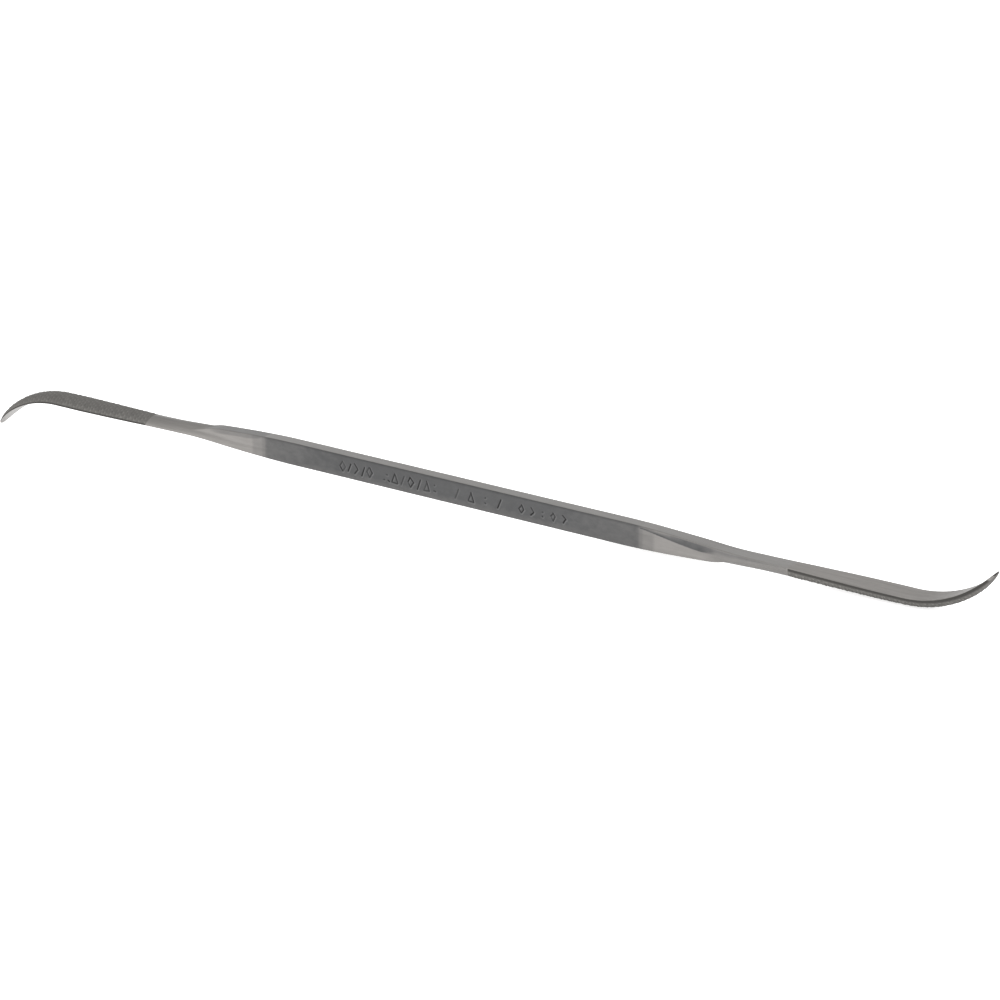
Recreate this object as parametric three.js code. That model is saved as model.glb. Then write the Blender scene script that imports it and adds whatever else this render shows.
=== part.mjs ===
import * as THREE from 'three';

// A double-ended half-round rasp (a riffler), forged in one piece from a flat bar.
// Millimetres. X runs along the tool, Y across its thickness, Z across its height,
// and the origin is the middle of the grip. The right head curls up, flat side up.
// The left end is the same shape turned half a turn about Y, so it curls down.
// The forging is divided where its finish changes: grip, two necks, two toothed heads.

// Driving dimensions
const overallLength = 305;       // from one tip of the flat sides to the other
const gripHeight = 5.85;
const gripThickness = 3.6;

const headWidth = 7.5;           // across the flat side, at its widest
const headDepth = 2.57;          // from the flat side to the crown of the belly
const flatHeight = 1.53;         // the flat side's height over the tool's axis
const bendRadius = 30.7;         // of the flat side, where the head curls
const tipAngle = THREE.MathUtils.degToRad(48);

const shoulderWidth = 4.2;       // across the flat side, at the shoulder
const shoulderHeight = 3.6;

// Lengths along the tool, in order from the tip to the grip
const widthFullAt = 22;          // the rounded plan of the tip ends here
const widthFallsFrom = 30;
const depthFullAt = 36;
const bellyDeepensFrom = 50;
const toothedLength = 57.4;
const neckLength = 20.6;         // from the teeth to the shoulder
const faceRunOut = 8;            // the bar's side faces fade out over this length
const leftGroundLength = 17.4;   // bright steel between the shoulder and the grip
const rightGroundLength = 21.4;
const taperLength = 27.5;        // from the shoulder to the bar's full height

// Shape of the tip's plan, and how deep the bar's side faces end within the belly
const tipPlanPower = 2.5;
const faceEndDepth = 0.45;

// Fineness of the faceted surface
const sideSteps = 7;
const bellySteps = 7;
const headSteps = 34;
const neckSteps = 26;
const gripSteps = 30;

const { lerp, smoothstep, clamp } = THREE.MathUtils;

const tipX = overallLength / 2;
const bendRun = bendRadius * Math.sin(tipAngle);
const bendLength = bendRadius * tipAngle;
const shoulderAt = toothedLength + neckLength;
const faceEndAt = shoulderAt - faceRunOut;
const flareEndAt = shoulderAt + Math.min(leftGroundLength, rightGroundLength);

// X of a place on the straight stretch, from its distance back from the tip
const straightX = (back) => tipX - bendRun + bendLength - back;

// The flat side's middle line: straight along the neck, then an arc up to the tip
function flatLine(back) {
  const angle = Math.max(0, tipAngle - back / bendRadius);
  const x = angle > 0 ? tipX - bendRun + bendRadius * Math.sin(angle) : straightX(back);
  return { x, z: flatSideZ(back) + bendRadius * (1 - Math.cos(angle)), angle };
}

// Half the bar's height, from the low shoulder up to the full grip
function barHalfHeight(back) {
  const rise = clamp((back - shoulderAt) / taperLength, 0, 1);
  return lerp(shoulderHeight, gripHeight, Math.sin(rise * Math.PI / 2)) / 2;
}

function flatSideZ(back) {
  if (back >= shoulderAt) return barHalfHeight(back);
  const rise = clamp((back - faceEndAt) / faceRunOut, 0, 1);
  return lerp(flatHeight, shoulderHeight / 2, rise ** 2);
}

function flatWidth(back) {
  const tipShare = 1 - clamp(back / widthFullAt, 0, 1);
  const atTip = headWidth * (1 - tipShare ** tipPlanPower) ** (1 / tipPlanPower);
  const alongNeck = lerp(atTip, shoulderWidth, smoothstep(back, widthFallsFrom, shoulderAt));
  return lerp(alongNeck, gripThickness, smoothstep(back, shoulderAt, flareEndAt));
}

function bellyDepth(back) {
  if (back >= shoulderAt) return 2 * barHalfHeight(back);
  const tipShare = 1 - clamp(back / depthFullAt, 0, 1);
  const deepening = clamp((back - bellyDeepensFrom) / (shoulderAt - bellyDeepensFrom), 0, 1);
  return lerp(headDepth * Math.sqrt(1 - tipShare ** 2), shoulderHeight, deepening ** 3);
}

// How far down the bar's own side faces reach before they fade into the belly
function faceDepth(back) {
  const left = clamp((back - faceEndAt) / faceRunOut, 0, 1);
  return bellyDepth(back) * lerp(faceEndDepth, 1, left);
}

// Cross-section below the flat side: a half-ellipse joined with the bar's rectangle.
// Points run from the +Y edge of the flat, round the belly, to its -Y edge, as
// distances across (Y) and down from the flat.
function halfRoundSection(back) {
  const halfWidth = flatWidth(back) / 2;
  const belly = bellyDepth(back);
  const face = faceDepth(back);
  const barHalf = Math.min(gripThickness / 2, halfWidth);
  const corner = Math.atan2(face, barHalf);
  const quarter = [];
  for (let i = 0; i < sideSteps; i++) quarter.push(corner * i / sideSteps);
  for (let i = 0; i < bellySteps; i++) quarter.push(lerp(corner, Math.PI / 2, i / bellySteps));
  const mirrored = quarter.map((turn) => Math.PI - turn).reverse();
  return [...quarter, Math.PI / 2, ...mirrored].map((turn) => {
    const across = Math.cos(turn);
    const down = Math.sin(turn);
    const toEllipse = 1 / Math.hypot(across / halfWidth, down / belly);
    const toBar = Math.min(barHalf / Math.abs(across), face / down);
    const reach = Math.max(toEllipse, toBar);
    return { across: reach * across, down: reach * down };
  });
}

// One section set square to the flat's middle line. end is 1 for the right end of
// the tool and -1 for the left end, which is turned half a turn about Y.
function placedSection(back, end) {
  const { x, z, angle } = flatLine(back);
  return halfRoundSection(back).map(({ across, down }) => new THREE.Vector3(
    end * (x + down * Math.sin(angle)),
    across,
    end * (z - down * Math.cos(angle)),
  ));
}

function gripSection(x) {
  const back = straightX(Math.abs(x));
  const half = barHalfHeight(back);
  const side = gripThickness / 2;
  return [[side, half], [side, -half], [-side, -half], [-side, half]]
    .map(([y, z]) => new THREE.Vector3(x, y, z));
}

// Skin through rings of equal length, closed at each end by a fan round a middle point.
// The rings run clockwise seen from the far end of the loft.
function loft(rings, nearPoint, farPoint) {
  const size = rings[0].length;
  const points = [...rings.flat(), nearPoint, farPoint];
  const near = points.length - 2;
  const far = points.length - 1;
  const lastRing = (rings.length - 1) * size;
  const faces = [];
  for (let i = 0; i < size; i++) {
    const next = (i + 1) % size;
    faces.push(near, i, next);
    faces.push(far, lastRing + next, lastRing + i);
    for (let start = 0; start < lastRing; start += size) {
      const ahead = start + size;
      faces.push(start + i, ahead + i, ahead + next);
      faces.push(start + i, ahead + next, start + next);
    }
  }
  const geometry = new THREE.BufferGeometry().setFromPoints(points);
  geometry.setIndex(faces);
  const faceted = geometry.toNonIndexed();
  faceted.computeVertexNormals();
  return faceted;
}

function ringMiddle(ring) {
  const box = new THREE.Box3().setFromPoints(ring);
  return box.getCenter(new THREE.Vector3());
}

function headGeometry(end) {
  const rings = [];
  for (let i = headSteps; i > 0; i--) {
    rings.push(placedSection(toothedLength * (i / headSteps) ** 2, end));
  }
  const { x, z } = flatLine(0);
  const tip = new THREE.Vector3(end * x, 0, end * z);
  return loft(rings, ringMiddle(rings[0]), tip);
}

function neckGeometry(end, groundLength) {
  const rings = [];
  for (let i = 0; i <= neckSteps; i++) {
    const back = lerp(shoulderAt + groundLength, toothedLength, i / neckSteps);
    rings.push(placedSection(back, end));
  }
  return loft(rings, ringMiddle(rings[0]), ringMiddle(rings.at(-1)));
}

function gripGeometry() {
  const leftX = -straightX(shoulderAt + leftGroundLength);
  const rightX = straightX(shoulderAt + rightGroundLength);
  const rings = [];
  for (let i = 0; i <= gripSteps; i++) {
    rings.push(gripSection(lerp(leftX, rightX, i / gripSteps)));
  }
  return loft(rings, ringMiddle(rings[0]), ringMiddle(rings.at(-1)));
}

const steel = (color, roughness) => new THREE.MeshStandardMaterial({ color, roughness, metalness: 0.9 });
const scaledSteel = steel(0x66676a, 0.62);
const groundSteel = steel(0xa9a6a0, 0.34);
const cutSteel = steel(0x7c7b78, 0.5);

const rasp = new THREE.Group();

function addPiece(name, geometry, material) {
  const piece = new THREE.Mesh(geometry, material);
  piece.name = name;
  rasp.add(piece);
}

addPiece('grip_bar', gripGeometry(), scaledSteel);
addPiece('right_neck', neckGeometry(1, rightGroundLength), groundSteel);
addPiece('left_neck', neckGeometry(-1, leftGroundLength), groundSteel);
addPiece('right_rasp_head', headGeometry(1), cutSteel);
addPiece('left_rasp_head', headGeometry(-1), cutSteel);

export default rasp;
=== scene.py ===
import math

import bpy
import numpy as np
from mathutils import Matrix, Vector


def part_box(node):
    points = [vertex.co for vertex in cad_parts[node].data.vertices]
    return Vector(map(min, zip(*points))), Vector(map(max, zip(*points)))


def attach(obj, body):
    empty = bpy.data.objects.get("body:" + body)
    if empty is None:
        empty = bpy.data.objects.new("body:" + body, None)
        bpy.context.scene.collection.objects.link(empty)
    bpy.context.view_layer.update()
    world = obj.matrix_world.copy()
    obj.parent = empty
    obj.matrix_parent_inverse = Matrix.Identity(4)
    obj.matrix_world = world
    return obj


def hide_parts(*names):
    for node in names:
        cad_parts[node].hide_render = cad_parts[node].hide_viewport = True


# A double-ended half-round rasp, forged in one piece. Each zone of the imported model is
# replaced by a fine mesh of the same shape, with rolled edges, punched marks and cut
# teeth. Sizes are in millimetres, and become metres when a mesh is made.

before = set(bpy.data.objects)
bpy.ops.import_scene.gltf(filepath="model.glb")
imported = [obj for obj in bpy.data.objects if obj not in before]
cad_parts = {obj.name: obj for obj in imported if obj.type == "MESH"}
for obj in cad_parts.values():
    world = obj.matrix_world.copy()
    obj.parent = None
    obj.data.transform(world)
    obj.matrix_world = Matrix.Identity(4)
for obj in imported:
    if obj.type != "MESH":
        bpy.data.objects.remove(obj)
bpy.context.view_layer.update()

MM = 0.001


def box_mm(node):
    low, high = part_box(node)
    return np.array(low) / MM, np.array(high) / MM


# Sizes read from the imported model
grip_low, grip_high = box_mm("grip_bar")
head_low, head_high = box_mm("right_rasp_head")
head_points = [vertex.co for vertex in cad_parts["right_rasp_head"].data.vertices]
TIP_X = max(head_points, key=lambda point: point.z).x / MM
GRIP_HEIGHT = grip_high[2] - grip_low[2]
GRIP_THICKNESS = grip_high[1] - grip_low[1]
HEAD_WIDTH = head_high[1] - head_low[1]

# Sizes that shape the forging, as in the CAD part
HEAD_DEPTH = 2.57
FLAT_HEIGHT = 1.53
BEND_RADIUS = 30.7
TIP_ANGLE = math.radians(48)
SHOULDER_WIDTH = 4.2
SHOULDER_HEIGHT = 3.6
WIDTH_FULL_AT = 22
WIDTH_FALLS_FROM = 30
DEPTH_FULL_AT = 36
BELLY_DEEPENS_FROM = 50
NECK_LENGTH = 20.6
FACE_RUN_OUT = 8
TAPER_LENGTH = 27.5
TIP_PLAN_POWER = 2.5
FACE_END_DEPTH = 0.45

BEND_RUN = BEND_RADIUS * math.sin(TIP_ANGLE)
BEND_LENGTH = BEND_RADIUS * TIP_ANGLE


def back_from_tip(x):
    """Distance back from the tip, along the flat side, of a place on the straight stretch."""
    return TIP_X - BEND_RUN + BEND_LENGTH - np.abs(x)


TOOTHED_LENGTH = back_from_tip(head_low[0])
SHOULDER_AT = TOOTHED_LENGTH + NECK_LENGTH
FACE_END_AT = SHOULDER_AT - FACE_RUN_OUT
LEFT_GRIP_AT = back_from_tip(grip_low[0])
RIGHT_GRIP_AT = back_from_tip(grip_high[0])
FLARE_END_AT = min(LEFT_GRIP_AT, RIGHT_GRIP_AT)

# Fineness of the meshes. Columns are steps down the +Y side, across the belly, up the
# -Y side and across the flat. They crowd towards the edges by the shares called crowding.
GRIP_COLUMNS = (12, 12, 46, 14)
NECK_COLUMNS = (24, 18, 44, 24)
HEAD_COLUMNS = (19, 46, 19, 22)
GRIP_STEP = 0.6
MARKED_STEP = 0.12
NECK_STEP = 0.2
HEAD_ROWS = 439
ROWS_CROWDING = 0.35
# Steps along each stretch of a sharp cross-section, and right round a rolled one
OUTLINE_STEPS = 72
RING_SAMPLES = 1024
SIDE_CROWDING = 0.55
BELLY_CROWDING = 0.35
FLAT_CROWDING = 0.7
NECK_BLENDING = 90
SHARP_ANGLE = math.radians(50)

# Spread of the smoothing that rolls the edges, and the most it may be of a whole section
BAR_EDGE = 0.1
HEAD_EDGE = 0.07
WIDEST_SPREAD = 0.012
# How far the faces stand proud, to make up for what rolling takes off the edges
BAR_FULLNESS = 0.07
RIGHT_BELLY_FULLNESS = 0.17

# Waves that make hand-worked faces uneven. A wave's height is this times the square root
# of its length.
WAVE_LENGTHS = (31, 17, 9.5, 5.2)
UNEVENNESS = 0.0015

# Seeds of the random draws
WAVES_SEED = 11
MARKS_SEED = 3
TEETH_SEED = 5

# Teeth
ROW_PITCH = 0.95
TOOTH_PITCH = 1.15
TOOTH_HEIGHT = 0.12
GOUGE_DEPTH = 0.08
TOOTH_JITTER = 0.1
TEETH_PER_ROW = 24
CREST_PLACE = 0.45
SPUR_LENGTH = 0.85
GOUGE_LENGTH = 0.6
GOUGE_NARROWING = 1.1
RIGHT_ROWS_CURVE = 0.3
LEFT_ROWS_CURVE = 1.4

# Punched marks on the grip
MARK_DEPTH = 0.14
MARK_RIM = 0.012
MARK_HALF_WIDTH = 0.2
MARK_HALF_HEIGHT = 1.35
# How far each rim is shifted below and to the right, to put its painted highlight where light from
# above would catch it
RIM_SHIFT = 0.07
MARK_UNTRUTH = 0.09
FAINTEST_MARK = 0.4
MARKED_REACH = 38.0
# Where a mark's rim is highest, and its spread, as shares of the mark's half width
RIM_PLACE = 1.7
RIM_SPREAD = 0.5


def mix(a, b, t):
    return a + (b - a) * t


def spaced(start, stop, step):
    """Places from start to stop, both included, about one step apart."""
    return np.linspace(start, stop, round(abs(stop - start) / step) + 1)


def smoothstep(value, low, high):
    t = np.clip((value - low) / (high - low), 0, 1)
    return t * t * (3 - 2 * t)


# The forging's shape. "back" is always the distance back from the tip.

def bar_half_height(back):
    rise = np.clip((back - SHOULDER_AT) / TAPER_LENGTH, 0, 1)
    return mix(SHOULDER_HEIGHT, GRIP_HEIGHT, np.sin(rise * math.pi / 2)) / 2


def flat_side_z(back):
    rise = np.clip((back - FACE_END_AT) / FACE_RUN_OUT, 0, 1)
    low = mix(FLAT_HEIGHT, SHOULDER_HEIGHT / 2, rise ** 2)
    return np.where(back >= SHOULDER_AT, bar_half_height(back), low)


def flat_width(back):
    tip_share = 1 - np.clip(back / WIDTH_FULL_AT, 0, 1)
    at_tip = HEAD_WIDTH * (1 - tip_share ** TIP_PLAN_POWER) ** (1 / TIP_PLAN_POWER)
    along = mix(at_tip, SHOULDER_WIDTH, smoothstep(back, WIDTH_FALLS_FROM, SHOULDER_AT))
    return mix(along, GRIP_THICKNESS, smoothstep(back, SHOULDER_AT, FLARE_END_AT))


def belly_depth(back):
    tip_share = 1 - np.clip(back / DEPTH_FULL_AT, 0, 1)
    run = SHOULDER_AT - BELLY_DEEPENS_FROM
    deepening = np.clip((back - BELLY_DEEPENS_FROM) / run, 0, 1)
    low = mix(HEAD_DEPTH * np.sqrt(1 - tip_share ** 2), SHOULDER_HEIGHT, deepening ** 3)
    return np.where(back >= SHOULDER_AT, 2 * bar_half_height(back), low)


def face_depth(back):
    left = np.clip((back - FACE_END_AT) / FACE_RUN_OUT, 0, 1)
    return belly_depth(back) * mix(FACE_END_DEPTH, 1, left)


def flat_line(back):
    """The flat side's middle line: x, z and slope angle. It rises along an arc to the tip."""
    angle = np.maximum(0, TIP_ANGLE - back / BEND_RADIUS)
    straight = TIP_X - BEND_RUN + BEND_LENGTH - back
    x = np.where(angle > 0, TIP_X - BEND_RUN + BEND_RADIUS * np.sin(angle), straight)
    return x, flat_side_z(back) + BEND_RADIUS * (1 - np.cos(angle)), angle


def sharp_outlines(back):
    """Closed cross-sections, one row for each place: round the belly, then across the flat.
    A section is a half-ellipse joined with the bar's rectangle. Points are across + 1j * down.
    Also returns where in a row the bar's first lower corner and the far edge of the flat are."""
    half = flat_width(back)[:, None] / 2
    depth = belly_depth(back)[:, None]
    face = face_depth(back)[:, None]
    bar = np.minimum(GRIP_THICKNESS / 2, half)
    corner = np.arctan2(face, bar)
    t = np.arange(OUTLINE_STEPS)[None, :] / OUTLINE_STEPS
    quarter = np.concatenate([corner * t, mix(corner, math.pi / 2, t)], axis=1)
    middle = np.full((len(back), 1), math.pi / 2)
    turn = np.concatenate([quarter, middle, math.pi - quarter[:, ::-1]], axis=1)
    across, down = np.cos(turn), np.sin(turn)
    to_ellipse = 1 / np.hypot(across / half, down / depth)
    with np.errstate(divide="ignore"):
        to_bar = np.minimum(bar / np.abs(across), face / np.abs(down))
    reach = np.maximum(to_ellipse, to_bar)
    flat = np.linspace(-1, 1, OUTLINE_STEPS)[None, 1:] * half
    points = np.concatenate([reach * across, flat], axis=1) + 0j
    points += 1j * np.concatenate([reach * down, np.zeros_like(flat)], axis=1)
    return points, OUTLINE_STEPS, turn.shape[1] - 1


def crowded(count, share):
    """Places from 0 up to 1, crowded towards both ends by that share."""
    u = np.arange(count) / count
    return mix(u, (1 - np.cos(math.pi * u)) / 2, share)[None, :]


def rolled(ring, total, back):
    """Evenly spaced rings, smoothed round their whole length so that their edges are rolled."""
    waves = np.fft.fftfreq(RING_SAMPLES, 1 / RING_SAMPLES)[None, :]
    edge = mix(HEAD_EDGE, BAR_EDGE, smoothstep(back, TOOTHED_LENGTH, SHOULDER_AT))[:, None]
    spread = np.minimum(edge / total, WIDEST_SPREAD)
    kept = np.exp(-2 * (math.pi * waves * spread) ** 2)
    smooth = np.fft.ifft(np.fft.fft(ring[:, :-1]) * kept)
    return np.concatenate([smooth, smooth[:, :1]], axis=1)


def rolled_sections(back, columns):
    """Cross-sections with rolled edges, with the same columns in every row.
    Returns complex points, across and down, and each one's distance round from the crown."""
    points, corner_at, edge_at = sharp_outlines(back)
    along = np.zeros(points.shape)
    along[:, 1:] = np.cumsum(np.abs(np.diff(points, axis=1)), axis=1)
    corner, far_edge, total = (along[:, [i]] for i in (corner_at, edge_at, -1))
    even = np.arange(RING_SAMPLES + 1) / RING_SAMPLES
    rows = range(len(back))
    ring = np.array([np.interp(even * total[i], along[i], points[i]) for i in rows])
    ring = rolled(ring, total, back)

    near_side, belly, far_side, flat = columns
    places = np.concatenate([
        mix(0, corner, crowded(near_side, SIDE_CROWDING)),
        mix(corner, far_edge - corner, crowded(belly, BELLY_CROWDING)),
        mix(far_edge - corner, far_edge, crowded(far_side, SIDE_CROWDING)),
        mix(far_edge, total, crowded(flat, FLAT_CROWDING)),
    ], axis=1)
    sections = [np.interp(places[i] / total[i], even, ring[i]) for i in rows]
    return np.array(sections), places - far_edge / 2


def blended(rows, passes):
    """Rows softened into their neighbours, with the first and last rows kept."""
    rows = rows.copy()
    for _ in range(passes):
        rows[1:-1] = (rows[:-2] + 2 * rows[1:-1] + rows[2:]) / 4
    return rows


def end_surface(back, columns, end, blending=0):
    """A stretch of one end of the tool. end is 1 for the right end and -1 for the left one,
    which is the same shape turned half a turn about Y."""
    sections, round_crown = rolled_sections(back, columns)
    sections = blended(sections, blending)
    x, z, angle = (value[:, None] for value in flat_line(back))
    down = sections.imag
    points = np.stack([
        end * (x + down * np.sin(angle)),
        sections.real,
        end * (z - down * np.cos(angle)),
    ], axis=2)
    return points, round_crown


def outward(points):
    """Unit normals of a surface given as rows of closed rings."""
    ahead = np.gradient(points, axis=0)
    around = np.roll(points, -1, axis=1) - np.roll(points, 1, axis=1)
    normal = np.cross(ahead, around)
    length = np.linalg.norm(normal, axis=2, keepdims=True)
    return normal / np.maximum(length, 1e-12)


def waviness(points):
    """The gentle unevenness of hand-forged and hand-ground faces, as waves of four lengths."""
    rng = np.random.default_rng(WAVES_SEED)
    total = np.zeros(points.shape[:2])
    for length in WAVE_LENGTHS:
        direction = rng.normal(size=3) * (1, 0.6, 0.6)
        phase = rng.uniform(0, 2 * math.pi)
        total += np.sin(points @ direction * (2 * math.pi / length) + phase) * length ** 0.5
    return total * UNEVENNESS


def fullness(back):
    return BAR_FULLNESS * smoothstep(back, TOOTHED_LENGTH, SHOULDER_AT)


def belly_fullness(back, end):
    """The right end is ground a little fuller than the left one."""
    if end < 0:
        return np.zeros(back.shape)
    return RIGHT_BELLY_FULLNESS * smoothstep(back, 0, 8) * (1 - smoothstep(back, 60, 84))


# Making meshes

def make_mesh(name, points, tip=None):
    """A closed skin through rows of rings. Each end closes in a fan, round the middle of its
    ring, or round the tip's point at the far end if there is one."""
    rows, count, _ = points.shape
    near_middle = points[0].mean(axis=0)
    far_middle = points[-1].mean(axis=0) if tip is None else tip
    vertices = np.concatenate([points.reshape(-1, 3), [near_middle, far_middle]]) * MM
    index = np.arange(rows * count).reshape(rows, count)
    right = np.roll(index, -1, axis=1)
    quads = np.stack([index[:-1], index[1:], right[1:], right[:-1]], axis=2).reshape(-1, 4)
    near, far = np.full((2, count), rows * count) + [[0], [1]]
    faces = quads.tolist()
    faces += np.stack([near, index[0], right[0]], axis=1).tolist()
    faces += np.stack([far, right[-1], index[-1]], axis=1).tolist()
    mesh = bpy.data.meshes.new(name)
    mesh.from_pydata(vertices.tolist(), [], faces)
    mesh.shade_smooth()
    mesh.set_sharp_from_angle(angle=SHARP_ANGLE)
    piece = bpy.data.objects.new(name, mesh)
    bpy.context.scene.collection.objects.link(piece)
    return piece


def store(piece, name, values):
    """Keeps one number for each vertex, with 0 in the middle of each end."""
    held = piece.data.attributes.new(name, "FLOAT", "POINT")
    flat = np.zeros(len(piece.data.vertices), np.float32)
    flat[:values.size] = values.ravel()
    held.data.foreach_set("value", flat)


# Punched marks: plain shapes of straight strokes and dots, in a box from -1 to 1

CHEVRON = [((-0.45, 1), (0.5, 0)), ((0.5, 0), (-0.45, -1))]
DIAMOND = [((0, 1), (0.7, 0)), ((0.7, 0), (0, -1)), ((0, -1), (-0.7, 0)), ((-0.7, 0), (0, 1))]
TRIANGLE = [((-0.65, -0.9), (0.65, -0.9)), ((0.65, -0.9), (0, 0.9)), ((0, 0.9), (-0.65, -0.9))]
SLASH = [((-0.35, -0.9), (0.35, 0.9))]
TWO_DOTS = [((-0.1, 0.6), (0.1, 0.6)), ((-0.1, -0.6), (0.1, -0.6))]
THREE_DOTS = [((-0.6, -0.7), (-0.4, -0.7)), ((0.4, -0.7), (0.6, -0.7)), ((-0.1, 0.5), (0.1, 0.5))]

# Where each group of marks starts along the grip, their pitch, their size, and the marks
MARK_GROUPS = [
    (-34.6, 2.15, 0.9, [DIAMOND, SLASH, CHEVRON, SLASH, DIAMOND]),
    (-20.6, 2.5, 0.95, [THREE_DOTS, TRIANGLE, SLASH, DIAMOND, SLASH, TRIANGLE, TWO_DOTS]),
    (1.3, 4.3, 0.95, [SLASH, TRIANGLE, TWO_DOTS, SLASH]),
    (20.9, 3.2, 0.7, [DIAMOND, CHEVRON, TWO_DOTS, DIAMOND, CHEVRON]),
]


def stroke_distance(x, z, start, end):
    run_x, run_z = end[0] - start[0], end[1] - start[1]
    length = run_x ** 2 + run_z ** 2
    along = ((x - start[0]) * run_x + (z - start[1]) * run_z) / length if length else 0
    along = np.clip(along, 0, 1)
    return np.hypot(x - start[0] - along * run_x, z - start[1] - along * run_z)


def struck_strokes():
    """The ends of each stroke on the grip, and how hard it was struck. Strokes are struck by
    hand, so each is a little off true, and some are faint."""
    rng = np.random.default_rng(MARKS_SEED)
    for first, pitch, size, marks in MARK_GROUPS:
        for number, strokes in enumerate(marks):
            middle = first + number * pitch
            for stroke in strokes:
                ends = np.array(stroke) * (MARK_HALF_HEIGHT * size) + (middle, 0)
                ends += rng.normal(size=(2, 2)) * MARK_UNTRUTH
                yield ends, rng.uniform(FAINTEST_MARK, 1)


def punched(x, z):
    """How far the punch has sunk at each place on the front face, and how far its rim has
    risen there, both from 0 to 1. The sunk share also sets the painted shade in the pits, and
    the risen share sets the painted highlight on the rims. The rim is shifted below and to the
    right, where light from above would catch it."""
    sunk, risen = np.zeros(x.shape), np.zeros(x.shape)
    for ends, force in struck_strokes():
        away = stroke_distance(x, z, *ends) / MARK_HALF_WIDTH
        pushed = stroke_distance(x - RIM_SHIFT, z + RIM_SHIFT, *ends) / MARK_HALF_WIDTH
        rim = np.exp(-((pushed - RIM_PLACE) / RIM_SPREAD) ** 2)
        rim *= smoothstep(away - pushed, -0.4, 0.4)
        sunk = np.maximum(sunk, force * (1 - smoothstep(away, 0.3, 1.3)))
        risen = np.maximum(risen, force * rim)
    return sunk, risen * (1 - sunk)


# Teeth: staggered rows of pointed spurs, each with the gouge that it was raised from

def teeth(back, round_crown, seed):
    """Height of the cut at each place, as a share of a tooth. It is below 0 in the gouges."""
    rng = np.random.default_rng(seed)
    rows = int(TOOTHED_LENGTH / ROW_PITCH) + 4
    jitter = rng.normal(size=(rows, TEETH_PER_ROW, 3)) * TOOTH_JITTER
    row_here = np.floor(back / ROW_PITCH).astype(int)
    spur = np.zeros(round_crown.shape)
    gouge = np.zeros(round_crown.shape)
    for row_step in (-1, 0, 1):
        row = np.clip(row_here + row_step, 0, rows - 1)
        stagger = (row % 2) * 0.5
        column_here = np.round(round_crown / TOOTH_PITCH - stagger).astype(int)
        for column_step in (-1, 0, 1):
            column = column_here + column_step
            offset = jitter[row, (column + TEETH_PER_ROW // 2) % TEETH_PER_ROW]
            centre = (column + stagger) * TOOTH_PITCH + offset[..., 0]
            crest = (row + CREST_PLACE) * ROW_PITCH + offset[..., 1]
            aside = np.abs(round_crown - centre) / (TOOTH_PITCH * 0.5)
            behind = (back - crest) / (ROW_PITCH * SPUR_LENGTH)
            ahead = -(back - crest) / (ROW_PITCH * GOUGE_LENGTH)
            rise = np.where(behind >= 0, 1 - aside - behind, 0) * (1 + offset[..., 2])
            cut = np.where(ahead > 0, 1 - aside * GOUGE_NARROWING - ahead, 0)
            spur = np.maximum(spur, rise)
            gouge = np.maximum(gouge, cut)
    return np.where(spur > 0, spur, -gouge * GOUGE_DEPTH / TOOTH_HEIGHT)


# Materials. Colours in pairs are the darkest and the lightest of a steel.

SCALE_COLOURS = ((0.082, 0.082, 0.083, 1), (0.099, 0.099, 0.100, 1))
BRIGHT_COLOURS = ((0.201, 0.193, 0.184, 1), (0.236, 0.226, 0.217, 1))
# Painted highlight on the punched marks' rims
RIM_HIGHLIGHT_COLOUR = (0.16, 0.16, 0.16, 1)
# Painted shade, in the punched marks' pits and along the grip's upper front edge
PAINTED_SHADE_COLOUR = (0.014, 0.014, 0.014, 1)
FLAT_COLOURS = ((0.262, 0.251, 0.240, 1), (0.342, 0.328, 0.315, 1))
# Painted reflection of the bright floor, on the left flat towards its tip
TIP_REFLECTION_COLOUR = (0.50, 0.49, 0.48, 1)
BARE_COLOURS = ((0.195, 0.187, 0.179, 1), (0.250, 0.240, 0.230, 1))
# Painted shade of the gouges and painted highlight of the crests
CUT_SHADE_AND_HIGHLIGHT = ((0.130, 0.126, 0.119, 1), (0.210, 0.203, 0.193, 1))
BORDER_COLOUR = (0.055, 0.053, 0.050, 1)

# Where most of a noise lies, and the sizes of the noises: stretch, then scale
NOISE_LOW, NOISE_HIGH = 0.3, 0.7
BAR_LINES = ((0.03, 1, 1), 5200)
HEAD_LINES = ((0.04, 1, 1), 5200)
STREAKS = ((0.045, 1, 1), 1300)
BAR_MOTTLE = ((0.6, 1, 1), 700)
HEAD_MOTTLE = ((0.8, 1, 1), 900)
BROAD_PATCHES = ((0.35, 1, 1), 120)

SCALE_ROUGHNESS = 0.5
BRIGHT_ROUGHNESS = 0.36
CUT_ROUGHNESS = 0.46
ROUGHNESS_SPREAD = 0.05
LINE_DEPTH = 0.02 * MM
MOTTLE_DEPTH = 0.03 * MM


def new_node(tree, kind, **inputs):
    node = tree.nodes.new(kind)
    for name, value in inputs.items():
        node.inputs[name].default_value = value
    return node


def stretched_noise(tree, stretch, scale, detail=4.0):
    """Noise in the part's own coordinates, drawn out along the tool."""
    place = tree.nodes.new("ShaderNodeTexCoord")
    scaling = new_node(tree, "ShaderNodeMapping", Scale=stretch)
    noise = new_node(tree, "ShaderNodeTexNoise", Scale=scale, Detail=detail, Roughness=0.6)
    tree.links.new(place.outputs["Object"], scaling.inputs["Vector"])
    tree.links.new(scaling.outputs["Vector"], noise.inputs["Vector"])
    return noise.outputs["Fac"]


def remap(tree, source, low, high, to_low, to_high):
    node = tree.nodes.new("ShaderNodeMapRange")
    node.inputs["From Min"].default_value = low
    node.inputs["From Max"].default_value = high
    node.inputs["To Min"].default_value = to_low
    node.inputs["To Max"].default_value = to_high
    tree.links.new(source, node.inputs["Value"])
    return node.outputs["Result"]


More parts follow.
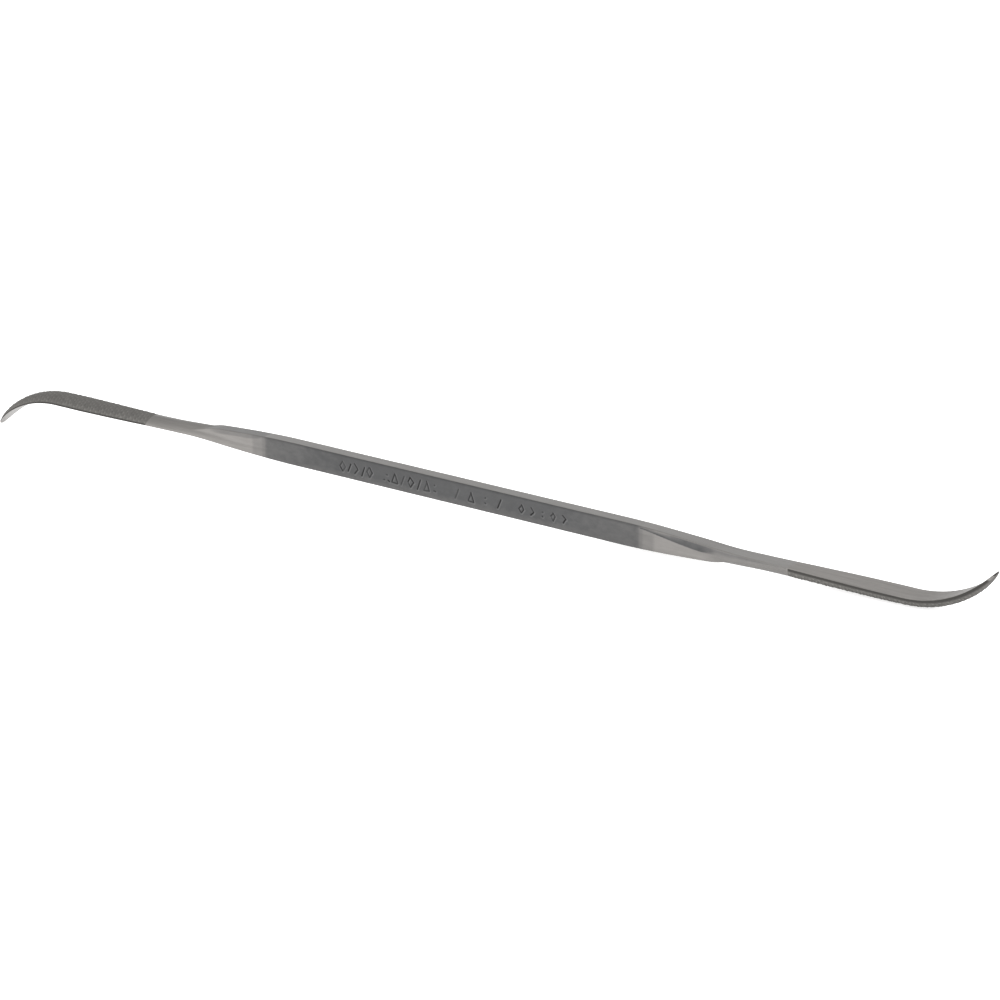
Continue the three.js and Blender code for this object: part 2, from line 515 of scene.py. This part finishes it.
def stored(tree, name):
    """The number that the mesh keeps for each vertex under that name."""
    node = tree.nodes.new("ShaderNodeAttribute")
    node.attribute_name = name
    return node.outputs["Fac"]


def combine(tree, how, a, b):
    node = tree.nodes.new("ShaderNodeMath")
    node.operation = how
    for socket, value in zip(node.inputs, (a, b)):
        if isinstance(value, (int, float)):
            socket.default_value = value
        else:
            tree.links.new(value, socket)
    return node.outputs["Value"]


def blend_colours(tree, how, share, a, b):
    node = tree.nodes.new("ShaderNodeMix")
    node.data_type = "RGBA"
    node.blend_type = how
    sockets = [s for s in node.inputs if s.type == "RGBA"]
    for socket, value in zip([node.inputs["Factor"], *sockets], (share, a, b)):
        if isinstance(value, (int, float, tuple)):
            socket.default_value = value
        else:
            tree.links.new(value, socket)
    return next(s for s in node.outputs if s.type == "RGBA")


def between(tree, source, colours, low=NOISE_LOW, high=NOISE_HIGH):
    """The first colour where the source is low, and the second where it is high."""
    return blend_colours(tree, "MIX", remap(tree, source, low, high, 0, 1), *colours)


def bump(tree, height, distance, strength, normal=None):
    node = new_node(tree, "ShaderNodeBump", Strength=strength, Distance=distance)
    tree.links.new(height, node.inputs["Height"])
    if normal is not None:
        tree.links.new(normal, node.inputs["Normal"])
    return node.outputs["Normal"]


def new_steel(name):
    material = bpy.data.materials.new(name)
    material.use_nodes = True
    shader = material.node_tree.nodes["Principled BSDF"]
    shader.inputs["Metallic"].default_value = 1.0
    return material, material.node_tree, shader


def finish_steel(tree, shader, colour, roughness, lines, line_strength, mottle):
    uneven = remap(tree, mottle, NOISE_LOW, NOISE_HIGH, -ROUGHNESS_SPREAD, ROUGHNESS_SPREAD)
    fine = bump(tree, lines, LINE_DEPTH, line_strength)
    tree.links.new(colour, shader.inputs["Base Color"])
    tree.links.new(combine(tree, "ADD", roughness, uneven), shader.inputs["Roughness"])
    tree.links.new(bump(tree, mottle, MOTTLE_DEPTH, 0.2, fine), shader.inputs["Normal"])


def bar_steel():
    """Dark scale where the forging was left alone, bright steel where it was ground. The
    mesh's "ground" number says which, and noise breaks the line between them. On the necks it
    is also lowered by painted shade, and on the right neck by scale in its hollow. Punched marks
    get painted shade in their pits and a painted highlight on their rims, as its "sunk" and
    "risen" numbers say, and "sunk" also holds a line of painted shade below the grip's upper
    front edge."""
    material, tree, shader = new_steel("bar_steel")
    lines, streaks, mottle, broad = (
        stretched_noise(tree, *size) for size in (BAR_LINES, STREAKS, BAR_MOTTLE, BROAD_PATCHES)
    )
    ragged = remap(tree, mottle, NOISE_LOW, NOISE_HIGH, -0.05, 0.05)
    ground = remap(tree, combine(tree, "ADD", stored(tree, "ground"), ragged), 0.06, 0.94, 0, 1)
    scale = between(tree, mottle, SCALE_COLOURS, 0.35, 0.68)
    bright = between(tree, streaks, BRIGHT_COLOURS)
    colour = blend_colours(tree, "MIX", ground, scale, bright)
    shade = remap(tree, broad, NOISE_LOW, NOISE_HIGH, 0.95, 1.05)
    colour = blend_colours(tree, "MULTIPLY", 1.0, colour, shade)
    # Painted highlight on the marks' rims, then painted shade in their pits and below the upper
    # front edge
    colour = blend_colours(tree, "MIX", stored(tree, "risen"), colour, RIM_HIGHLIGHT_COLOUR)
    colour = blend_colours(tree, "MIX", stored(tree, "sunk"), colour, PAINTED_SHADE_COLOUR)
    roughness = remap(tree, ground, 0, 1, SCALE_ROUGHNESS, BRIGHT_ROUGHNESS)
    finish_steel(tree, shader, colour, roughness, lines, 0.35, mottle)
    return material


def toothed_steel():
    """The heads: a plain ground flat, and teeth with a painted highlight on their crests and
    painted shade in their gouges. The mesh's "tooth" number is the height of the cut, "belly"
    is 1 on the cut side, "border" is 1 on the dark strip beside the flat, "flat_side" is 1 on
    the flat, and one more number is 1 where a painted reflection lightens the left flat towards
    its tip."""
    material, tree, shader = new_steel("toothed_steel")
    shader.inputs["Specular Tint"].default_value = (0.5, 0.5, 0.5, 1)
    lines, streaks, mottle = (
        stretched_noise(tree, *size) for size in (HEAD_LINES, STREAKS, HEAD_MOTTLE)
    )
    flat = between(tree, streaks, FLAT_COLOURS)
    # Painted reflection, lightening the left flat towards its tip
    flat = blend_colours(tree, "MIX", stored(tree, "tip_reflection"), flat, TIP_REFLECTION_COLOUR)
    bare = between(tree, streaks, BARE_COLOURS)
    plain = blend_colours(tree, "MIX", stored(tree, "flat_side"), bare, flat)
    # Painted shade in the gouges and a painted highlight on the crests, set by the height of the
    # cut
    cut = between(tree, stored(tree, "tooth"), CUT_SHADE_AND_HIGHLIGHT, -0.45, 0.75)
    shade = remap(tree, mottle, NOISE_LOW, NOISE_HIGH, 0.88, 1.1)
    cut = blend_colours(tree, "MULTIPLY", 1.0, cut, shade)
    cut = blend_colours(tree, "MIX", stored(tree, "border"), cut, BORDER_COLOUR)
    belly = stored(tree, "belly")
    colour = blend_colours(tree, "MIX", belly, plain, cut)
    roughness = remap(tree, belly, 0, 1, BRIGHT_ROUGHNESS, CUT_ROUGHNESS)
    finish_steel(tree, shader, colour, roughness, lines, 0.3, mottle)
    return material


# The pieces

def place(piece, node, material, slot):
    piece.data.materials.append(material)
    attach(piece, "root")
    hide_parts(node)
    return piece


# How bright each zone is ground: 0 is dark scale, and 1 is bright steel
GRIP_EDGE_FINISH = 0.7
GRIP_END_FINISH = 0.5
RUBBED_FINISH = 0.2
HANDLED_FINISH = 0.19
NECK_START_FINISH = 0.68
RIGHT_NECK_FINISH = 0.93
NECK_EDGE_FINISH = 0.77


def grip_finish(x, z, narrow):
    """The front and back are dark, and the narrow faces bright. The ends are rubbed, and so
    is the lower half that fingers hold."""
    into_grip = np.minimum(x - grip_low[0], grip_high[0] - x)[:, None]
    rubbed = RUBBED_FINISH * (1 - smoothstep(into_grip, 0, 36))
    finish_line = mix(GRIP_END_FINISH, rubbed, smoothstep(into_grip, 0, 0.9))
    half = bar_half_height(back_from_tip(x))[:, None]
    handled = HANDLED_FINISH * smoothstep(-z / half, 0, 0.9)
    return np.maximum(np.maximum(narrow * GRIP_EDGE_FINISH, finish_line), handled)


def painted_edge_shade(x, z):
    """A line of painted shade just below the grip's upper front edge."""
    half = bar_half_height(back_from_tip(x))[:, None]
    return 0.2 * (1 - smoothstep(half - z, 0.2, 0.6))


def make_grip(material):
    x = np.concatenate([
        spaced(grip_low[0], -MARKED_REACH, GRIP_STEP),
        spaced(-MARKED_REACH, MARKED_REACH, MARKED_STEP)[1:-1],
        spaced(MARKED_REACH, grip_high[0], GRIP_STEP),
    ])
    back = back_from_tip(x)
    sections, _ = rolled_sections(back, GRIP_COLUMNS)
    z = bar_half_height(back)[:, None] - sections.imag
    points = np.stack([np.broadcast_to(x[:, None], z.shape), sections.real, z], axis=2)
    normal = outward(points)
    front = smoothstep(-normal[..., 1], 0.9, 0.999)
    sunk, risen = (share * front for share in punched(points[..., 0], points[..., 2]))
    height = fullness(back)[:, None] + waviness(points)
    height = height + risen * MARK_RIM - sunk * MARK_DEPTH
    piece = make_mesh("grip", points + normal * height[..., None])
    narrow = smoothstep(np.abs(normal[..., 2]), 0.8, 0.98)
    store(piece, "ground", grip_finish(x, z, narrow))
    # The pits' painted shade, and the line of painted shade below the upper front edge
    store(piece, "sunk", np.maximum(sunk, painted_edge_shade(x, z) * front))
    store(piece, "risen", risen)
    return place(piece, "grip_bar", material, "scaled_steel")


def hollow_scale_and_shade(points, past_grip):
    """How much dark scale was left in the hollow below the right neck's near upper edge, with
    painted shade added: darkest at the hollow's lower border and lighter up towards the ridge,
    as a concave hollow is shaded. It widens over the first 18 mm past the grip, and then fades
    to a thin dull line."""
    y, z = points[..., 1], points[..., 2]
    ridge = z.max(axis=1, keepdims=True)
    past = smoothstep(past_grip, 17, 23)
    widening = np.sin(np.clip((past_grip - 1) / 17, 0, 1) * math.pi / 2)
    reach = mix(mix(0.6, 2.0, widening), 0.5, smoothstep(past_grip, 20, 41))
    below = (ridge - z) / reach
    inside = 1 - smoothstep(below, mix(0.93, 0.2, past), mix(1.03, 1.15, past))
    beside_edge = mix(0.25, 0.9, smoothstep(past_grip, 4, 14))
    # Painted shade: darkest at the hollow's lower border, lighter towards the ridge
    upper = mix(beside_edge, 1, smoothstep(below, 0.05, 0.9))
    clear_of_flat = smoothstep(ridge - z, 0.06, 0.22)
    patch = inside * upper * mix(1, 0.62, past)
    return np.maximum(patch, 0.26 * past) * clear_of_flat * (y < 0)


def painted_upper_shade(points, normal, past_grip):
    """How much painted shade darkens the left neck's upper side: a band over the upper face and
    the top of the side face, standing in for the shade of a broader upper face. The shade is
    left off the very edge between the upper and side faces, so that edge is brighter."""
    z, up = points[..., 2], normal[..., 2]
    below = z.max(axis=1, keepdims=True) - z
    reach = 1.15 * smoothstep(past_grip, -2, 6) * (1 - 0.25 * smoothstep(past_grip, 14, 20))
    band = 1 - smoothstep(below, reach - 0.35, reach + 0.3)
    edge = smoothstep(up, 0.15, 0.5) * (1 - smoothstep(up, 0.8, 0.99))
    return 0.45 * band * (1 - edge) * (1 - smoothstep(past_grip, 14, 21))


def neck_finish(points, normal, end, past_grip):
    """Ground in two passes, duller beside the grip and brighter from about 4 mm on. The right
    neck is then darkened by scale and painted shade in its hollow, and the left neck by a
    painted band of shade along its upper side.
    """
    finish = mix(GRIP_END_FINISH, NECK_START_FINISH, smoothstep(past_grip, 0.3, 1.2))
    full = RIGHT_NECK_FINISH if end > 0 else 1
    finish = mix(finish, full, smoothstep(past_grip, 3.3, 4.7))
    narrow = smoothstep(np.abs(normal[..., 2]), 0.8, 0.98)
    finish = mix(finish, NECK_EDGE_FINISH, narrow)
    # The right neck gets scale and painted shade in its hollow; the left neck gets a painted band
    # of shade along its upper side
    if end > 0:
        dull = hollow_scale_and_shade(points, past_grip)
    else:
        dull = painted_upper_shade(points, normal, past_grip)
    return finish * (1 - 0.95 * dull)


def make_neck(name, node, end, grip_at, material):
    back = spaced(grip_at, TOOTHED_LENGTH, NECK_STEP)
    points, round_crown = end_surface(back, NECK_COLUMNS, end, NECK_BLENDING)
    normal = outward(points)
    half_belly = np.abs(round_crown[:, [0]])
    under = smoothstep(half_belly - np.abs(round_crown), 0, half_belly * 0.7)
    height = fullness(back)[:, None] + belly_fullness(back, end)[:, None] * under
    height += waviness(points)
    piece = make_mesh(name, points + normal * height[..., None])
    past_grip = (grip_at - back)[:, None]
    store(piece, "ground", neck_finish(points, normal, end, past_grip))
    return place(piece, node, material, "ground_steel")


def head_rows():
    """Places from the neck to just short of the tip, closer together near the tip."""
    share = np.linspace(1, 0, HEAD_ROWS + 1)[:-1]
    return TOOTHED_LENGTH * mix(share, share ** 2, ROWS_CROWDING)


def dark_strip(back, to_edge, end):
    """The strip beside the flat, which the teeth stop short of. It widens near the right tip
    and narrows near the left one."""
    along = smoothstep(back, 8, 25)
    width = mix(0.85, 0.65, along) if end > 0 else mix(0.3, 0.45, along)
    return 1 - smoothstep(to_edge, width * 0.65, width * 1.7)


def bare_patch(back, to_edge, end):
    """How bare the steel is beside the flat near the right tip, where the teeth are rubbed off."""
    along = smoothstep(back, 0.6, 1.0) * (1 - smoothstep(back, 1.9, 2.6))
    return (end > 0) * 0.9 * along * (1 - smoothstep(to_edge, 0.7, 1.3))


def left_wear(back, round_crown, half_belly):
    """How much brighter use has worn the left head's teeth, along its crown and at its tip."""
    crown = 1 - smoothstep(np.abs(round_crown), 0, half_belly * 0.7)
    tip = 1 - smoothstep(back, 4, 18)
    return 0.35 * crown + 0.5 * tip


def make_head(name, node, end, material):
    back = head_rows()
    points, round_crown = end_surface(back, HEAD_COLUMNS, end)
    normal = outward(points)
    back = back[:, None]
    half_belly = np.abs(round_crown[:, [0]])
    to_edge = half_belly - np.abs(round_crown)
    rows_curve = RIGHT_ROWS_CURVE if end > 0 else LEFT_ROWS_CURVE
    rows_left = TOOTHED_LENGTH - rows_curve * (round_crown / half_belly) ** 2 - back
    border = dark_strip(back, to_edge, end)
    cut = smoothstep(to_edge, 0.0, 0.12) * smoothstep(rows_left, -0.05, 0.2)
    fade = smoothstep(back, 0.6, 7) * smoothstep(rows_left, 0, 0.8)
    tooth = teeth(back, round_crown, TEETH_SEED + end) * cut * fade * (1 - border)
    height = tooth * TOOTH_HEIGHT + waviness(points)
    height += belly_fullness(back, end) * smoothstep(to_edge, 0, half_belly * 0.7)
    x, z, _ = flat_line(np.zeros(1))
    piece = make_mesh(name, points + normal * height[..., None], (end * x[0], 0, end * z[0]))
    wear = (end < 0) * left_wear(back, round_crown, half_belly)
    # Where the left flat is painted lighter towards its tip, as a reflection of the floor
    tip_reflection = (end < 0) * (1 - smoothstep(back, 6, 22))
    store(piece, "tooth", tooth + wear)
    store(piece, "belly", cut * (1 - bare_patch(back, to_edge, end)))
    store(piece, "border", border)
    store(piece, "flat_side", 1 - smoothstep(to_edge, -0.05, 0.05))
    store(piece, "tip_reflection", np.broadcast_to(tip_reflection, border.shape))
    return place(piece, node, material, "cut_steel")


bar = bar_steel()
toothed = toothed_steel()
pieces = [
    make_grip(bar),
    make_neck("neck_right", "right_neck", 1, RIGHT_GRIP_AT, bar),
    make_neck("neck_left", "left_neck", -1, LEFT_GRIP_AT, bar),
    make_head("head_right", "right_rasp_head", 1, toothed),
    make_head("head_left", "left_rasp_head", -1, toothed),
]


# The stage, in metres

FLOOR_SIZE = 12
STEEPEST_FLOOR = 0.3
HALVINGS = 40
FLOOR_GLOW = 0.7
# The sky's strength low down and overhead, and the heights that it dims between
SKY_LOW, SKY_HIGH = 1.3, 1.0
SKY_DIMS_FROM, SKY_DIMS_TO = 0.3, 0.7
LAMP_SIZE = 3
LAMP_POWER = 14
LAMP_HEIGHT = 2.5

# The camera is turned round from the front towards the right end
CAMERA_AZIMUTH = math.radians(36)
CAMERA_ELEVATION = math.radians(19.33)
CAMERA_ROLL = math.radians(0.045)
CAMERA_DISTANCE = 1.021
VIEW_ANGLE = math.radians(13.85)
AIM_RIGHT, AIM_UP = 0.01063, -0.00233


def resting_line():
    """Slope and height of the plane that both ends of the curved tool touch from below. The
    range of slopes is halved until the touching point is about to change ends."""
    points = np.concatenate([[vertex.co for vertex in piece.data.vertices] for piece in pieces])
    x, z = points[:, 0], points[:, 2]
    low, high = -STEEPEST_FLOOR, STEEPEST_FLOOR
    for _ in range(HALVINGS):
        slope = (low + high) / 2
        touching = x[np.argmin(z - slope * x)]
        if touching > 0:
            high = slope
        else:
            low = slope
    return slope, (z - slope * x).min()


def make_floor():
    """A white light table, lit from below, so that it shows almost no shadow."""
    slope, height = resting_line()
    bpy.ops.mesh.primitive_plane_add(size=FLOOR_SIZE)
    floor = bpy.context.object
    floor.name = "floor"
    floor.location = (0, 0, height)
    floor.rotation_euler = (0, -math.atan(slope), 0)
    material = bpy.data.materials.new("pale_floor")
    material.use_nodes = True
    shader = material.node_tree.nodes["Principled BSDF"]
    shader.inputs["Base Color"].default_value = (0.9, 0.9, 0.9, 1)
    shader.inputs["Roughness"].default_value = 0.9
    shader.inputs["Emission Color"].default_value = (1, 1, 1, 1)
    shader.inputs["Emission Strength"].default_value = FLOOR_GLOW
    floor.data.materials.append(material)


def make_light():
    """An even white room, a little darker overhead, with one broad lamp above the tool."""
    world = bpy.data.worlds.new("studio")
    bpy.context.scene.world = world
    world.use_nodes = True
    tree = world.node_tree
    place_in_sky = tree.nodes.new("ShaderNodeTexCoord")
    split = tree.nodes.new("ShaderNodeSeparateXYZ")
    tree.links.new(place_in_sky.outputs["Generated"], split.inputs["Vector"])
    strength = remap(tree, split.outputs["Z"], SKY_DIMS_FROM, SKY_DIMS_TO, SKY_LOW, SKY_HIGH)
    tree.links.new(strength, tree.nodes["Background"].inputs["Strength"])
    tree.nodes["Background"].inputs["Color"].default_value = (1, 1, 1, 1)
    lamp = bpy.data.lights.new("overhead", "AREA")
    lamp.shape = "DISK"
    lamp.size = LAMP_SIZE
    lamp.energy = LAMP_POWER
    overhead = bpy.data.objects.new("overhead", lamp)
    overhead.location = (0, 0, LAMP_HEIGHT)
    overhead.visible_glossy = False
    bpy.context.scene.collection.objects.link(overhead)


def make_camera():
    away = Vector((
        math.sin(CAMERA_AZIMUTH) * math.cos(CAMERA_ELEVATION),
        -math.cos(CAMERA_AZIMUTH) * math.cos(CAMERA_ELEVATION),
        math.sin(CAMERA_ELEVATION),
    ))
    right = Vector((math.cos(CAMERA_AZIMUTH), math.sin(CAMERA_AZIMUTH), 0))
    right = Matrix.Rotation(-CAMERA_ROLL, 3, away) @ right
    up = away.cross(right)
    data = bpy.data.cameras.new("camera")
    data.angle = VIEW_ANGLE
    data.clip_start = 0.05
    camera = bpy.data.objects.new("camera", data)
    turn = Matrix((right, up, away)).transposed().to_4x4()
    aim = right * AIM_RIGHT + up * AIM_UP
    camera.matrix_world = Matrix.Translation(aim + away * CAMERA_DISTANCE) @ turn
    bpy.context.scene.collection.objects.link(camera)
    bpy.context.scene.camera = camera


make_floor()
make_light()
make_camera()
bpy.context.scene.view_settings.view_transform = "Standard"
